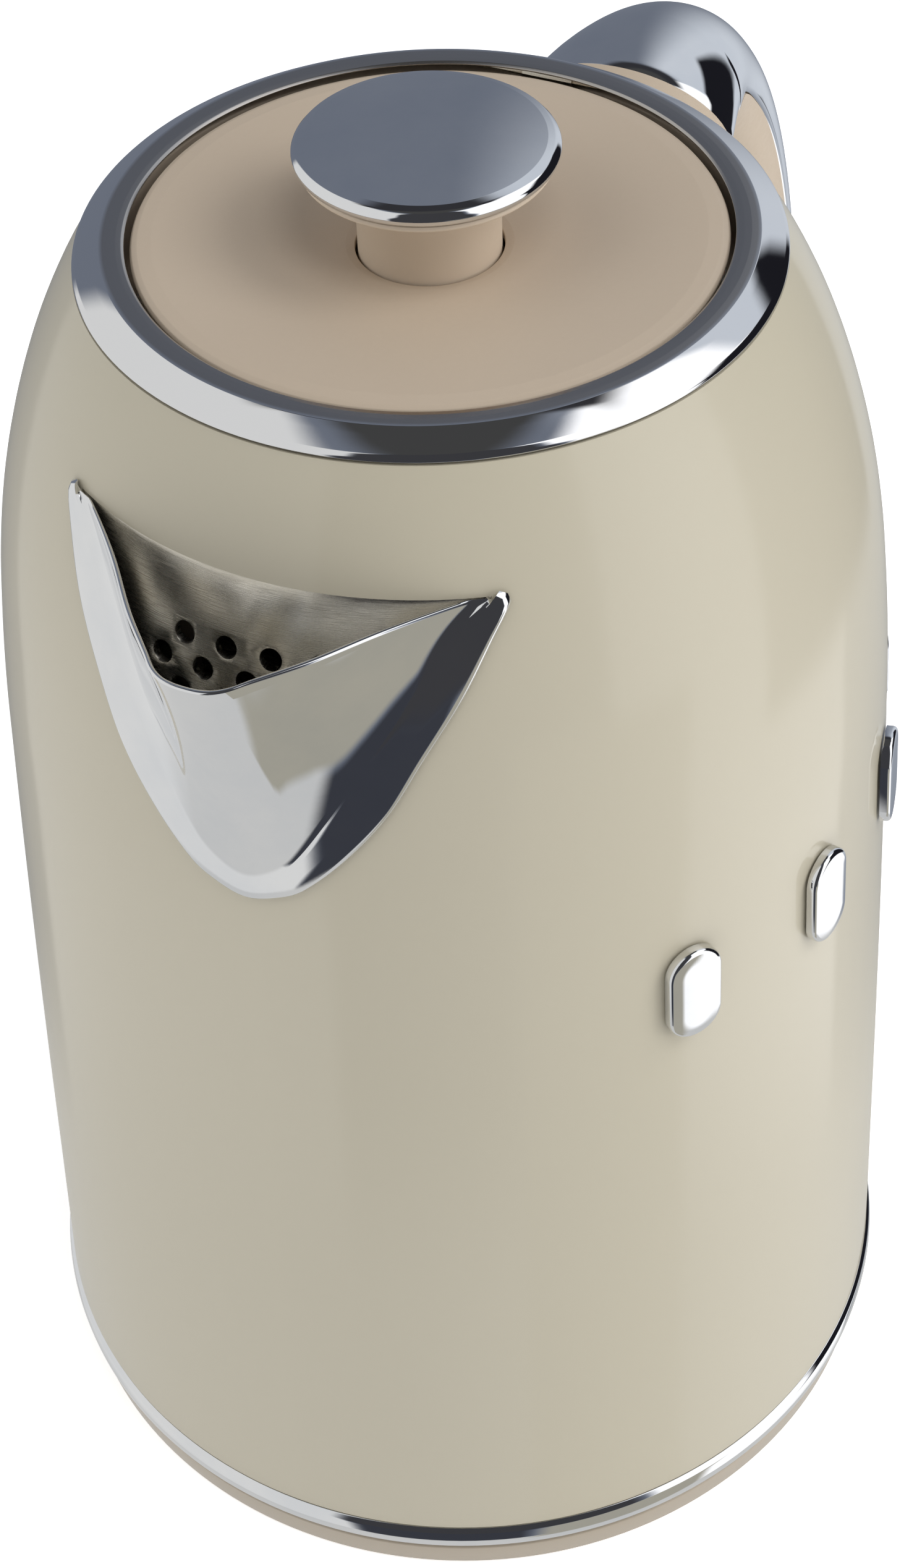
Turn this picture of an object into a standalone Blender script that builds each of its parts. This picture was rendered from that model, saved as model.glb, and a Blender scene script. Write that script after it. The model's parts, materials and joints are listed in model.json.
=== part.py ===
"""Cordless electric kettle on its power base, built piece by piece.

Frame: the origin is the centre of the base's underside on the worktop, +Z is up,
the handle is at +X and the pouring lip at -X.  Outlines are written in millimetres.
"""
import math

import bmesh
import bpy
from mathutils import Matrix, Vector

MM = 0.001
GAP = 0.3                      # clearance between pieces that touch

# Kettle body: outer radius at each height
BODY_OUTER = [(76.7, 13.4), (74.1, 76), (70.7, 144), (69.7, 160), (68.1, 176), (67.0, 184),
              (65.5, 192), (63.5, 200), (61.0, 208), (57.9, 216), (54.0, 224), (50.9, 229.1)]
BODY_WALL = 1.2
TURN_STEPS = 64                # facets round the big turned pieces

# Pouring spout, half of each line: distance from the middle plane, height
SPOUT_EDGE = [(0, 162.7), (5.9, 164.5), (9.0, 166.5), (14.9, 173), (20.7, 181.5), (25.1, 191),
              (29.2, 200), (32.0, 208.5), (33.0, 213.5)]
SPOUT_CREASE = [(0, 166.5), (4.6, 168.5), (7.8, 171.5), (12.9, 180), (17.5, 189), (20.8, 194),
                (23.3, 200.5), (25.4, 206), (28.5, 213.5)]
SPOUT_LIP = [(0, 80.3), (5.5, 78.6), (7.5, 76.5), (13.5, 70.2), (20.5, 61.5), (28.0, 53.2)]
LIP_HEIGHT = 213.2             # where the lip leaves the body
LIP_SLOPE = 0.07               # the lip falls this much per millimetre outwards
SPOUT_WALL = 1.1
SPOUT_STATIONS = [0, 0.07, 0.15, 0.24, 0.34, 0.45, 0.57, 0.68, 0.78, 0.86, 0.93, 1]
WINDOW_TOP = 213.2             # top edge of the bare steel behind the spout

# Strainer holes: height of each row, angles from the middle plane
STRAINER_ROWS = [(202.8, (-9.2, -3.07, 3.07, 9.2)), (198.6, (-12.3, -6.15, 0, 6.15, 12.3)),
                 (194.4, (-9.2, -3.07, 3.07, 9.2))]
STRAINER_HOLE_RADIUS = 1.65

# Handle: centre line in the middle plane as distance from the kettle's axis, height
HANDLE_LINE = [(58, 196.5), (70, 202), (83, 204.6), (96, 201.8), (108, 192.5), (118, 179),
               (126.5, 161), (131.8, 143), (133.4, 124), (132, 105), (126, 88), (116, 74),
               (103, 64.5), (88, 61), (70, 60.5)]
HANDLE_THICK = 12.4            # half the handle's thickness
HANDLE_WIDE = 13.2             # half its width along the grip
HANDLE_ROOT_WIDE = 20.5        # half its width where it meets the body
HANDLE_WALL = 2.2
SEAM_TOP = [(75.6, 235), (75.3, 214), (75.2, 211), (76.4, 208.8), (79.5, 207.4), (85, 206)]
SEAM_BOTTOM = [(104, 66), (101.5, 62), (101, 58), (101, 35)]

# Lid and hinge
HINGE_X = 44.3
HINGE_Z = 230.9
LATCH_TIP = 42.9

# Power lever under the handle's foot
LEVER_X = 93.0
LEVER_Z = 56.5

# Badge bars on the side: angle round the body
BADGE_ANGLES = (-126, -103, -80, -57)
BADGE_HEIGHT = 138.0


def clear_scene():
    """Remove everything the new file starts with."""
    for item in list(bpy.data.objects):
        bpy.data.objects.remove(item, do_unlink=True)


def make_material(name, colour, roughness, metallic=0.0):
    """One plain Principled material."""
    made = bpy.data.materials.new(name)
    made.use_nodes = True
    shader = made.node_tree.nodes["Principled BSDF"]
    shader.inputs["Base Color"].default_value = (*colour, 1.0)
    shader.inputs["Roughness"].default_value = roughness
    shader.inputs["Metallic"].default_value = metallic
    made.diffuse_color = (*colour, 1.0)
    return made


def finish(name, mesh_data, look, origin=(0, 0, 0)):
    """Turn edited geometry in millimetres into a named object with its origin at a point."""
    bmesh.ops.recalc_face_normals(mesh_data, faces=mesh_data.faces)
    shift = Matrix.Translation(-Vector(origin))
    bmesh.ops.transform(mesh_data, matrix=Matrix.Scale(MM, 4) @ shift, verts=mesh_data.verts)
    mesh = bpy.data.meshes.new(name)
    mesh_data.to_mesh(mesh)
    mesh_data.free()
    mesh.shade_smooth()
    mesh.set_sharp_from_angle(angle=math.radians(32))
    made = bpy.data.objects.new(name, mesh)
    made.location = Vector(origin) * MM
    bpy.context.collection.objects.link(made)
    if look is not None:
        mesh.materials.append(look)
    return made


def loft(mesh_data, rings, closed_path=False):
    """Skin a row of equal rings of points; cap the two ends unless the row is closed."""
    rows = [[mesh_data.verts.new(point) for point in ring] for ring in rings]
    count = len(rows[0])
    last = len(rows) if closed_path else len(rows) - 1
    for index in range(last):
        here = rows[index]
        there = rows[(index + 1) % len(rows)]
        for side in range(count):
            following = (side + 1) % count
            mesh_data.faces.new((here[side], here[following], there[following], there[side]))
    if not closed_path:
        mesh_data.faces.new(rows[0])
        mesh_data.faces.new(rows[-1])


def turned(name, outline, look, steps=TURN_STEPS, centre=(0, 0), origin=(0, 0, 0)):
    """Solid of revolution about a vertical line from a closed outline of (radius, height)."""
    mesh_data = bmesh.new()
    rows = []
    for radius, height in outline:
        if radius == 0:
            rows.append([mesh_data.verts.new((centre[0], centre[1], height))] * steps)
            continue
        ring = []
        for step in range(steps):
            angle = math.tau * step / steps
            ring.append(mesh_data.verts.new((centre[0] + radius * math.cos(angle),
                                             centre[1] + radius * math.sin(angle), height)))
        rows.append(ring)
    for index, row in enumerate(rows):
        following = rows[(index + 1) % len(rows)]
        for step in range(steps):
            after = (step + 1) % steps
            corners = []
            for corner in (row[step], row[after], following[after], following[step]):
                if corner not in corners:
                    corners.append(corner)
            if len(corners) > 2:
                mesh_data.faces.new(corners)
    return finish(name, mesh_data, look, origin)


def prism(name, outline, low, high, look=None, origin=(0, 0, 0)):
    """Straight solid along Y from a closed outline of (x, z)."""
    mesh_data = bmesh.new()
    loft(mesh_data, [[(x, y, z) for x, z in outline] for y in (low, high)])
    return finish(name, mesh_data, look, origin)


def box(name, low, high, look=None, origin=(0, 0, 0)):
    """Straight block between two corners."""
    outline = [(low[0], low[2]), (high[0], low[2]), (high[0], high[2]), (low[0], high[2])]
    return prism(name, outline, low[1], high[1], look, origin)


def hide(*cutters):
    """Mark shapes that only cut other shapes."""
    for cutter in cutters:
        cutter.hide_render = True
        cutter.display_type = "WIRE"


def combine(target, other, operation="DIFFERENCE"):
    """Add an exact boolean to the target and hide the other shape."""
    modifier = target.modifiers.new(operation.lower(), "BOOLEAN")
    modifier.operation = operation
    modifier.object = other
    modifier.solver = "EXACT"
    hide(other)


def circle(centre, radius, steps, start=0.0, end=360.0):
    """Points of an arc in the plane of the outline."""
    closed = end - start >= 360
    count = steps if closed else steps + 1
    points = []
    for step in range(count):
        angle = math.radians(start + (end - start) * step / steps)
        points.append((centre[0] + radius * math.cos(angle), centre[1] + radius * math.sin(angle)))
    return points


def table(points, value):
    """Straight-line reading of a table of (key, value) pairs."""
    if value <= points[0][0]:
        return points[0][1]
    for (key_a, value_a), (key_b, value_b) in zip(points, points[1:]):
        if value <= key_b:
            return value_a + (value_b - value_a) * (value - key_a) / (key_b - key_a)
    return points[-1][1]


def body_radius(height):
    """Outer radius of the painted body at a height."""
    return table([(z, radius) for radius, z in BODY_OUTER], height)


def body_band(outside, inside, low, high):
    """Closed outline of a skin that follows the body between two heights."""
    heights = [low] + [z for _, z in BODY_OUTER if low < z < high] + [high]
    outer = [(body_radius(z) + outside, z) for z in heights]
    inner = [(body_radius(z) - inside, z) for z in reversed(heights)]
    return outer + inner


def body_clearance(name, margin):
    """Solid round the whole body, used to keep other pieces off its surface."""
    outline = [(radius + margin, z) for radius, z in BODY_OUTER]
    return turned(name, [(0, BODY_OUTER[0][1])] + outline + [(0, BODY_OUTER[-1][1])], None)


def smooth_line(points, pieces):
    """Points of a smooth curve through the given points."""
    padded = [points[0]] + list(points) + [points[-1]]
    line = []
    for index in range(1, len(padded) - 2):
        before, start, end, after = (Vector(point) for point in padded[index - 1:index + 3])
        for piece in range(pieces):
            t = piece / pieces
            line.append(0.5 * (2 * start + (end - before) * t
                               + (2 * before - 5 * start + 4 * end - after) * t ** 2
                               + (3 * start - before - 3 * end + after) * t ** 3))
    line.append(Vector(points[-1]))
    return line


# ---------------------------------------------------------------- power base

def build_power_base(cream, black, rubber, steel, brass):
    """Low round stand with its underside cover, feet, connector and cord inlet."""
    shell = turned("base_shell", [(75.9, 0.8), (76.6, 6.4), (76.2, 7.0), (67.4, 7.0), (65.6, 10.6),
                                  (19.4, 10.6), (19.4, 6.0), (8.6, 6.0), (8.6, 4.4), (21.2, 4.4),
                                  (21.2, 8.8), (64.4, 8.8), (66.0, 5.2), (74.4, 5.2), (74.1, 0.8)],
                   cream, 48)
    combine(shell, box("cord_slot", (70, -6.3, -2), (80, 6.3, 6.3)))
    cover = turned("base_bottom_cover", [(73.6, 0.9), (73.6, 2.3), (0, 2.3), (0, 0.9)], black, 48)
    combine(cover, box("cord_notch", (65, -6.3, -2), (80, 6.3, 6)))
    turned("base_foot_centre", [(14, 0), (14, 0.6), (0, 0.6), (0, 0)], rubber, 24)
    for number, angle in enumerate((45, 135, 225, 315), 1):
        place = (58 * math.cos(math.radians(angle)), 58 * math.sin(math.radians(angle)))
        turned(f"base_foot_{number}", [(6.5, 0), (7, 0.6), (0, 0.6), (0, 0)], rubber, 16, place)
    for number, angle in enumerate((0, 120, 240), 1):
        place = (40 * math.cos(math.radians(angle)), 40 * math.sin(math.radians(angle)))
        turned(f"base_screw_{number}", [(2.6, 2.6), (2.6, 4.0), (1.3, 4.6), (1.3, 8.5), (0, 8.5),
                                        (0, 2.6)], steel, 10, place)
    turned("connector_post", [(7.6, 2.6), (7.6, 15.4), (6.6, 16.4), (2.3, 16.4), (2.3, 8.0),
                              (0, 8.0), (0, 2.6)], black, 24)
    turned("connector_outer_contact", [(14.2, 6.3), (14.2, 8.6), (12.4, 8.6), (12.4, 6.3)], brass, 24)
    turned("connector_centre_contact", [(2.0, 8.3), (2.0, 17.2), (1.2, 18.2), (0, 18.2), (0, 8.3)],
           brass, 12)
    inlet = box("cord_inlet", (70.6, -6, 0.9), (77.2, 6, 5.9), black)
    bore = prism("inlet_bore", circle((0, 3.4), 1.9, 12), -90, -60)
    bore.rotation_euler.z = math.radians(90)
    combine(inlet, bore)


# ---------------------------------------------------------------- kettle body

def spout_window(name, margin):
    """Prism through the front wall with the outline of the bare steel window."""
    half = [(max(y - margin, 0), z + margin) for y, z in SPOUT_EDGE if z < 211]
    half.append((SPOUT_EDGE[-1][0] - margin, WINDOW_TOP - margin + 2.0))
    outline = [(-y, z) for y, z in reversed(half)] + half[1:]
    window = prism(name, outline, 30, 95)
    window.rotation_euler.z = math.radians(90)
    return window


def build_body(cream, bare_steel, clear):
    """Painted body shell, perforated steel window behind the spout, and water gauge."""
    shell = turned("body_shell", body_band(0, BODY_WALL, 13.4, 229.1), cream)
    combine(shell, spout_window("window_cut", 2.0))
    combine(shell, box("gauge_cut", (55, -6, 84), (90, 6, 172)))
    vent = prism("vent_cut", circle((0, 200), 4, 12), 55, 70)
    vent.rotation_euler.z = math.radians(-90)
    combine(shell, vent)

    plate = turned("strainer_plate", body_band(0, BODY_WALL, 160, 220), bare_steel)
    combine(plate, spout_window("plate_trim", 2.0 + GAP), "INTERSECT")
    holes = bmesh.new()
    for height, angles in STRAINER_ROWS:
        for angle in angles:
            turn = Matrix.Rotation(math.radians(180 + angle), 4, "Z")
            rings = []
            for reach in (50, 80):
                ring = [turn @ Vector((reach, y, height + z))
                        for y, z in circle((0, 0), STRAINER_HOLE_RADIUS, 10)]
                rings.append(ring)
            loft(holes, rings)
    combine(plate, finish("strainer_holes", holes, None))

    gauge = turned("water_gauge", body_band(0.6, BODY_WALL + 0.6, 80, 176), clear)
    combine(gauge, box("gauge_trim", (50, -6 + GAP, 84 + GAP), (90, 6 - GAP, 172 - GAP)), "INTERSECT")


def build_trim(chrome, beige, steel):
    """Chrome rings at the foot and the neck, the lid's collar and its hinge pin."""
    turned("bottom_ring", [(76.6, 7.5), (77.4, 8.4), (77.6, 10.2), (77.3, 12.2), (76.7, 13.0),
                           (74.9, 13.0), (74.9, 7.5)], chrome)
    turned("top_ring", [(50.9, 229.5), (50.8, 229.9), (50.4, 230.2), (48.0, 231.6), (46.6, 232.3),
                        (45.4, 232.55), (44.4, 232.5), (43.6, 232.3), (43.2, 232.0), (43.3, 231.8),
                        (44.5, 231.95), (45.6, 231.95), (47.4, 231.2), (49.2, 230.1),
                        (49.4, 229.5)], chrome)
    turned("neck_collar", [(45.2, 229.7), (48.7, 229.7), (48.9, 221.0), (47.5, 219.4),
                           (39.0, 219.4), (39.0, 221.6), (45.2, 221.6)], beige, 48)
    prism("hinge_pin", circle((HINGE_X, HINGE_Z), 0.5, 8), -13, 13, steel, (HINGE_X, 0, HINGE_Z))


def spout_point(row, share):
    """Point on one of the spout's long lines, share 0 in the middle to 1 at the corner."""
    edge_y = SPOUT_EDGE[-1][0] * share
    inner_y = SPOUT_CREASE[-1][0] * share
    lip_y = SPOUT_LIP[-1][0] * share
    if row[0] == "edge":
        height = table(SPOUT_EDGE, edge_y)
        radius = body_radius(height) + row[1]
        return Vector((-math.sqrt(radius ** 2 - edge_y ** 2), edge_y, height))
    height = table(SPOUT_CREASE, inner_y)
    radius = body_radius(height) + 1.2 - row[2]
    crease = Vector((-math.sqrt(radius ** 2 - inner_y ** 2), inner_y, height))
    reach = table(SPOUT_LIP, lip_y)
    lip = Vector((-reach, lip_y, LIP_HEIGHT - LIP_SLOPE * (reach - SPOUT_LIP[-1][1])))
    hollow = 4 * row[1] * (1 - row[1]) * 1.4 * (1 - share)
    point = crease.lerp(lip, row[1]) + Vector((hollow, 0, 0))
    if row[2] > 0:
        inward = Vector((math.cos(share * 0.9), -math.sin(share * 0.9), 0))
        fade = 1 if row[1] > 0 else 0
        point += inward * SPOUT_WALL * fade
    least = body_radius(point.z) + (GAP if row[2] > 0 else GAP + SPOUT_WALL)
    spread = max(least / math.hypot(point.x, point.y), 1)
    return Vector((point.x * spread, point.y * spread, point.z))


def build_spout(chrome):
    """Pressed pouring beak: a flat flange on the body and a free scoop with a thin lip."""
    rows = [("edge", 1.0), ("crease", 0.0, 0), ("crease", 0.25, 0), ("crease", 0.5, 0),
            ("crease", 0.75, 0), ("crease", 1.0, 0), ("crease", 1.0, 0.9), ("crease", 0.75, 0.9),
            ("crease", 0.5, 0.9), ("crease", 0.25, 0.9), ("crease", 0.0, 0.9), ("edge", GAP)]
    rings = []
    for share in [-value for value in reversed(SPOUT_STATIONS[1:])] + SPOUT_STATIONS:
        ring = []
        for row in rows:
            point = spout_point(row, abs(share))
            if share < 0:
                point.y = -point.y
            ring.append(point)
        rings.append(ring)
    mesh_data = bmesh.new()
    loft(mesh_data, rings)
    finish("spout_beak", mesh_data, chrome)


def build_badges(chrome):
    """Plain upright bars on the side, where the object carries its raised marks."""
    for number, angle in enumerate(BADGE_ANGLES, 1):
        lean = math.atan((body_radius(BADGE_HEIGHT - 8) - body_radius(BADGE_HEIGHT + 8)) / 16)
        face = Matrix.Rotation(math.radians(angle), 4, "Z")
        face @= Matrix.Translation((body_radius(BADGE_HEIGHT) + GAP, 0, BADGE_HEIGHT))
        face @= Matrix.Rotation(-lean, 4, "Y")
        rings = []
        for depth, shrink in ((0, 0), (1.3, 0), (1.7, 0.5)):
            half_wide = 4.6 - shrink
            top = circle((0, 4.2), half_wide, 8, 0, 180)
            low = circle((0, -4.2), half_wide, 8, 180, 360)
            rings.append([face @ Vector((depth, y, z)) for y, z in top + low])
        mesh_data = bmesh.new()
        loft(mesh_data, rings)
        finish(f"badge_bar_{number}", mesh_data, chrome)


def build_underside(black, steel, aluminium, brass):
    """Jug underside, heating plate and element, connector and boil-dry control."""
    turned("jug_base", [(74.5, 7.8), (74.5, 20.0), (72.4, 20.0), (72.4, 13.6), (18.6, 13.6),
                        (18.6, 11.6), (68.4, 11.6), (70.0, 7.8)], black, 40)
    turned("heating_plate", [(74.3, 26.0), (74.3, 27.4), (0, 27.4), (0, 26.0)], steel, 48)
    turned("heat_spreader", [(58, 23.2), (58, 25.7), (0, 25.7), (0, 23.2)], aluminium, 32)
    element = bmesh.new()
    rings = []
    for step in range(19):
        angle = math.radians(20 + 320 * step / 18)
        turn = Matrix.Rotation(angle, 4, "Z")
        rings.append([turn @ Vector((r, 0, z)) for r, z in circle((44, 19.6), 3.2, 6)])
    loft(element, rings)
    finish("heating_element", element, steel)
    turned("jug_connector", [(18.2, 11.2), (18.2, 22.8), (0, 22.8), (0, 20.4), (9.0, 20.4),
                             (9.0, 11.2)], black, 32)
    turned("jug_outer_contact", [(14.0, 9.0), (14.0, 10.9), (12.6, 10.9), (12.6, 9.0)], brass, 24)
    turned("jug_centre_contact", [(4.4, 16.9), (4.4, 20.1), (2.6, 20.1), (2.6, 16.9)], brass, 12)


# ---------------------------------------------------------------- handle

def handle_width(distance):
    """Half width of the handle at a distance from the kettle's axis."""
    share = min(max((distance - 62) / 46, 0), 1)
    return HANDLE_ROOT_WIDE + (HANDLE_WIDE - HANDLE_ROOT_WIDE) * (1 - (1 - share) ** 2)


def handle_tube(name, inset, sides, extend, look=None):
    """Sweep of the handle's oval section along its line, smaller by the inset."""
    line = smooth_line(HANDLE_LINE, 2)
    first = line[0] + (line[0] - line[1]).normalized() * extend
    last = line[-1] + (line[-1] - line[-2]).normalized() * extend
    line = [first] + line[1:-1] + [last]
    rings = []
    for index, point in enumerate(line):
        before = line[max(index - 1, 0)]
        after = line[min(index + 1, len(line) - 1)]
        along = (after - before).normalized()
        outward = Vector((-along.y, along.x))
        ring = []
        for y, lift in circle((0, 0), 1, sides):
            place = point + outward * lift * (HANDLE_THICK - inset)
            ring.append((place.x, y * (handle_width(point.x) - inset), place.y))
        rings.append(ring)
    mesh_data = bmesh.new()
    loft(mesh_data, rings)
    return finish(name, mesh_data, look)


def seam_region(name, shift):
    """Prism over the chrome half of the handle, its edge moved inwards by the shift."""
    middle = [Vector(point) for point in HANDLE_LINE if point[1] < 203 and point[0] > 93]
    middle = [point for point in middle if not (point.y < 66)]
    seam = [Vector(point) for point in SEAM_TOP] + middle + [Vector(point) for point in SEAM_BOTTOM]
    moved = []
    for index, point in enumerate(seam):
        along = (seam[min(index + 1, len(seam) - 1)] - seam[max(index - 1, 0)]).normalized()
        moved.append(point + Vector((along.y, -along.x)) * shift)
    outline = [tuple(point) for point in moved] + [(165, 35), (165, 235)]
    return prism(name, outline, -40, 40)


def build_handle(chrome, beige, silicone, black, steel):
    """Two half shells, the power lever and the steam parts inside."""
    hollow = handle_tube("handle_hollow", HANDLE_WALL, 12, 6)

    grip = handle_tube("handle_grip", 0, 20, 0, beige)
    combine(grip, hollow)
    combine(grip, seam_region("grip_seam", GAP / 2))
    combine(grip, body_clearance("grip_space", GAP))
    combine(grip, box("lever_slot", (LEVER_X - 4, -4.6, 40), (LEVER_X + 4, 4.6, 56)))

    shell = handle_tube("handle_shell", 0, 20, 0, chrome)
    combine(shell, hollow)
    combine(shell, seam_region("shell_seam", -GAP / 2), "INTERSECT")

    mesh_data = bmesh.new()
    neck = [(LEVER_X - 2, 46.6), (LEVER_X - 7, 46.4), (LEVER_X - 8, 43.6), (LEVER_X + 2, 42.2),
            (LEVER_X + 14, 39.6), (LEVER_X + 16.5, 41.6), (LEVER_X + 8, 44.8), (LEVER_X + 2, 46.6)]
    boss = circle((LEVER_X, LEVER_Z), 3.2, 8, -50, 230)
    loft(mesh_data, [[(x, y, z) for x, z in boss + neck] for y in (-4.0, 4.0)])
    lever = finish("power_lever", mesh_data, chrome, (LEVER_X, 0, LEVER_Z))
    pivot = prism("lever_bore", circle((LEVER_X, LEVER_Z), 1.5, 10), -10, 10)
    combine(lever, pivot)
    prism("lever_pin", circle((LEVER_X, LEVER_Z), 1.2, 10), -7.5, 7.5, steel,
          (LEVER_X, 0, LEVER_Z))
    box("steam_switch", (78.5, -8, 54), (87, 8, 68), black)

    line = smooth_line([point for point in HANDLE_LINE if point[0] > 69][1:-2], 1)
    rings_out = []
    for index, point in enumerate(line):
        along = (line[min(index + 1, len(line) - 1)] - line[max(index - 1, 0)]).normalized()
        outward = Vector((-along.y, along.x))
        ring = []
        for y, lift in circle((0, 0), 3.0, 8):
            place = point + outward * lift
            ring.append((place.x, y, place.y))
        rings_out.append(ring)
    mesh_data = bmesh.new()
    loft(mesh_data, rings_out)
    tube = finish("steam_tube", mesh_data, silicone)
    bore = bmesh.new()
    rings_in = []
    for ring, point in zip(rings_out, line):
        centre = Vector((point.x, 0, point.y))
        rings_in.append([centre + (Vector(corner) - centre) * 0.6 for corner in ring])
    start = Vector(rings_in[0][0]) - Vector(rings_in[1][0])
    end = Vector(rings_in[-1][0]) - Vector(rings_in[-2][0])
    rings_in[0] = [corner + start * 0.2 for corner in rings_in[0]]
    rings_in[-1] = [corner + end * 0.2 for corner in rings_in[-1]]
    loft(bore, rings_in)
    combine(tube, finish("steam_bore", bore, None))


# ---------------------------------------------------------------- lid

def build_lid(beige, chrome, steel, silicone):
    """Hinged lid with its gasket, latch bolts and push knob."""
    hinge = (HINGE_X, 0, HINGE_Z)
    turned("lid_top", [(42.5, 230.4), (42.5, 231.0), (42.2, 231.5), (41.4, 231.8), (39.4, 231.9),
                       (30, 231.2), (20, 230.3), (12, 229.4), (10.7, 229.1), (10.7, 227.8),
                       (12, 227.8), (22, 228.6), (26, 229.8)], beige, origin=hinge)
    turned("lid_cup", [(36.5, 217.0), (37.5, 218.0), (38.2, 224.2), (41.5, 224.2), (41.5, 226.2),
                       (36.6, 226.2), (36.0, 218.6), (0, 218.6), (0, 217.0)], steel, 40,
           origin=hinge)
    turned("lid_gasket", [(42.2, 222.3), (42.2, 223.5), (41.6, 223.9), (38.5, 223.9),
                          (38.4, 221.9), (41.8, 221.9)], silicone, 40, origin=hinge)
    leaf_outline = [(30, 228.6), (43.9, 228.6), (44.1, 230.0)]
    leaf_outline += circle((HINGE_X, HINGE_Z), 0.85, 8, -60, 200)
    leaf_outline += [(43.3, 229.7), (30, 229.5)]
    leaf = prism("lid_hinge_leaf", leaf_outline, -4.0, 4.0, steel, hinge)
    combine(leaf, prism("leaf_bore", circle((HINGE_X, HINGE_Z), 0.58, 8), -6, 6))
    for name, side in (("latch_bolt_left", 1), ("latch_bolt_right", -1)):
        reach = sorted((side * 24, side * LATCH_TIP))
        box(name, (-4, reach[0], 226.8), (4, reach[1], 228.3), steel, (0, side * 30, 227.5))

    turned("knob_stem", [(12.6, 222.0), (12.6, 223.6), (10.3, 223.6), (10.3, 239.8), (11.0, 241.3),
                         (13.4, 242.2), (17.5, 242.5), (18.0, 242.9), (17.8, 243.5), (0, 243.5),
                         (0, 241.4), (8.3, 241.4), (8.3, 222.0)], beige, 28)
    turned("knob_cap", [(18.1, 243.8), (18.6, 244.1), (18.9, 244.8), (18.5, 245.3), (17.5, 245.8),
                        (16, 246.4), (12, 247.2), (6, 247.8), (0, 248.0), (0, 243.8)], chrome, 36)
    spring = bmesh.new()
    rings = []
    for step in range(33):
        angle = math.tau * step / 8
        centre_z = 219.6 + (240.4 - 219.6) * step / 32
        turn = Matrix.Rotation(angle, 4, "Z")
        rings.append([turn @ Vector((r, 0, z)) for r, z in circle((5.4, centre_z), 0.55, 4)])
    loft(spring, rings)
    finish("knob_spring", spring, steel)


def build_filter(beige, steel):
    """Limescale filter that hangs behind the strainer and lifts out."""
    frame = box("filter_frame", (-51.5, -18, 178), (-49, 18, 211), beige, (-50, 0, 195))
    combine(frame, box("filter_window", (-55, -15, 181), (-45, 15, 208)))
    box("filter_mesh", (-50.6, -15 + GAP, 181 + GAP), (-50.0, 15 - GAP, 208 - GAP), steel,
        (-50, 0, 195))


def main():
    """Build every piece."""
    clear_scene()
    cream = make_material("cream_enamel", (0.50, 0.46, 0.37), 0.18)
    beige = make_material("beige_plastic", (0.48, 0.40, 0.31), 0.45)
    chrome = make_material("polished_chrome", (0.80, 0.81, 0.83), 0.06, 1.0)
    bare_steel = make_material("brushed_steel", (0.62, 0.60, 0.56), 0.32, 1.0)
    aluminium = make_material("cast_aluminium", (0.70, 0.71, 0.72), 0.45, 1.0)
    brass = make_material("contact_brass", (0.78, 0.60, 0.28), 0.30, 1.0)
    black = make_material("black_plastic", (0.02, 0.02, 0.022), 0.50)
    rubber = make_material("grey_rubber", (0.10, 0.10, 0.10), 0.80)
    silicone = make_material("clear_silicone", (0.75, 0.75, 0.72), 0.50)
    clear = make_material("gauge_window", (0.60, 0.66, 0.68), 0.08)
    build_power_base(cream, black, rubber, bare_steel, brass)
    build_body(cream, bare_steel, clear)
    build_trim(chrome, beige, bare_steel)
    build_spout(chrome)
    build_badges(chrome)
    build_underside(black, bare_steel, aluminium, brass)
    build_handle(chrome, beige, silicone, black, bare_steel)
    build_lid(beige, chrome, bare_steel, silicone)
    build_filter(beige, bare_steel)


main()
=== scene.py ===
"""Looks of the electric kettle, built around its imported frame.

The frame's own axes are used: +Z up, the handle at +X, the pouring lip at -X.
Outlines are written in millimetres.
"""
import json
import math

import bmesh
import bpy
from mathutils import Matrix, Vector


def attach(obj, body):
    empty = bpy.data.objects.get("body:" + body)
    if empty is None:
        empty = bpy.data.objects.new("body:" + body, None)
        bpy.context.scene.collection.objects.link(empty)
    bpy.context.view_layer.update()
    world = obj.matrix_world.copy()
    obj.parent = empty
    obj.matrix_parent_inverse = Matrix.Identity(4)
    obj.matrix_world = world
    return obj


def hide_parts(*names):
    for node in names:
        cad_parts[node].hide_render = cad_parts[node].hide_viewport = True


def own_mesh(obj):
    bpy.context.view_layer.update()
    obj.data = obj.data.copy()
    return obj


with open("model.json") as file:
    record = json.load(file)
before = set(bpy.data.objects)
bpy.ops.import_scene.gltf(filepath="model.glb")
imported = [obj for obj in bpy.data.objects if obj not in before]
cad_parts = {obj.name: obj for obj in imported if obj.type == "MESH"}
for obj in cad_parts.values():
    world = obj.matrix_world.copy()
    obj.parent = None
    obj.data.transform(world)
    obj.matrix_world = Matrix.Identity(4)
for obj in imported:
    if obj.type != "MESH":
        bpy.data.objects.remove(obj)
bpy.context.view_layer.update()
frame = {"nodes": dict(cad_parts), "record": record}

MM = 0.001
ROUND_STEPS = 192              # facets round the large turned pieces
SMALL_STEPS = 96

# Painted body: outer radius, height
BODY_OUTER = [(76.7, 13.4), (75.6, 40), (74.1, 76), (72.4, 112), (70.7, 144), (69.7, 160),
              (68.1, 176), (67.0, 184), (65.5, 192), (63.5, 200), (61.0, 208), (57.9, 216),
              (54.0, 224), (50.9, 229.1)]
BODY_WALL = 1.2

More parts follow.
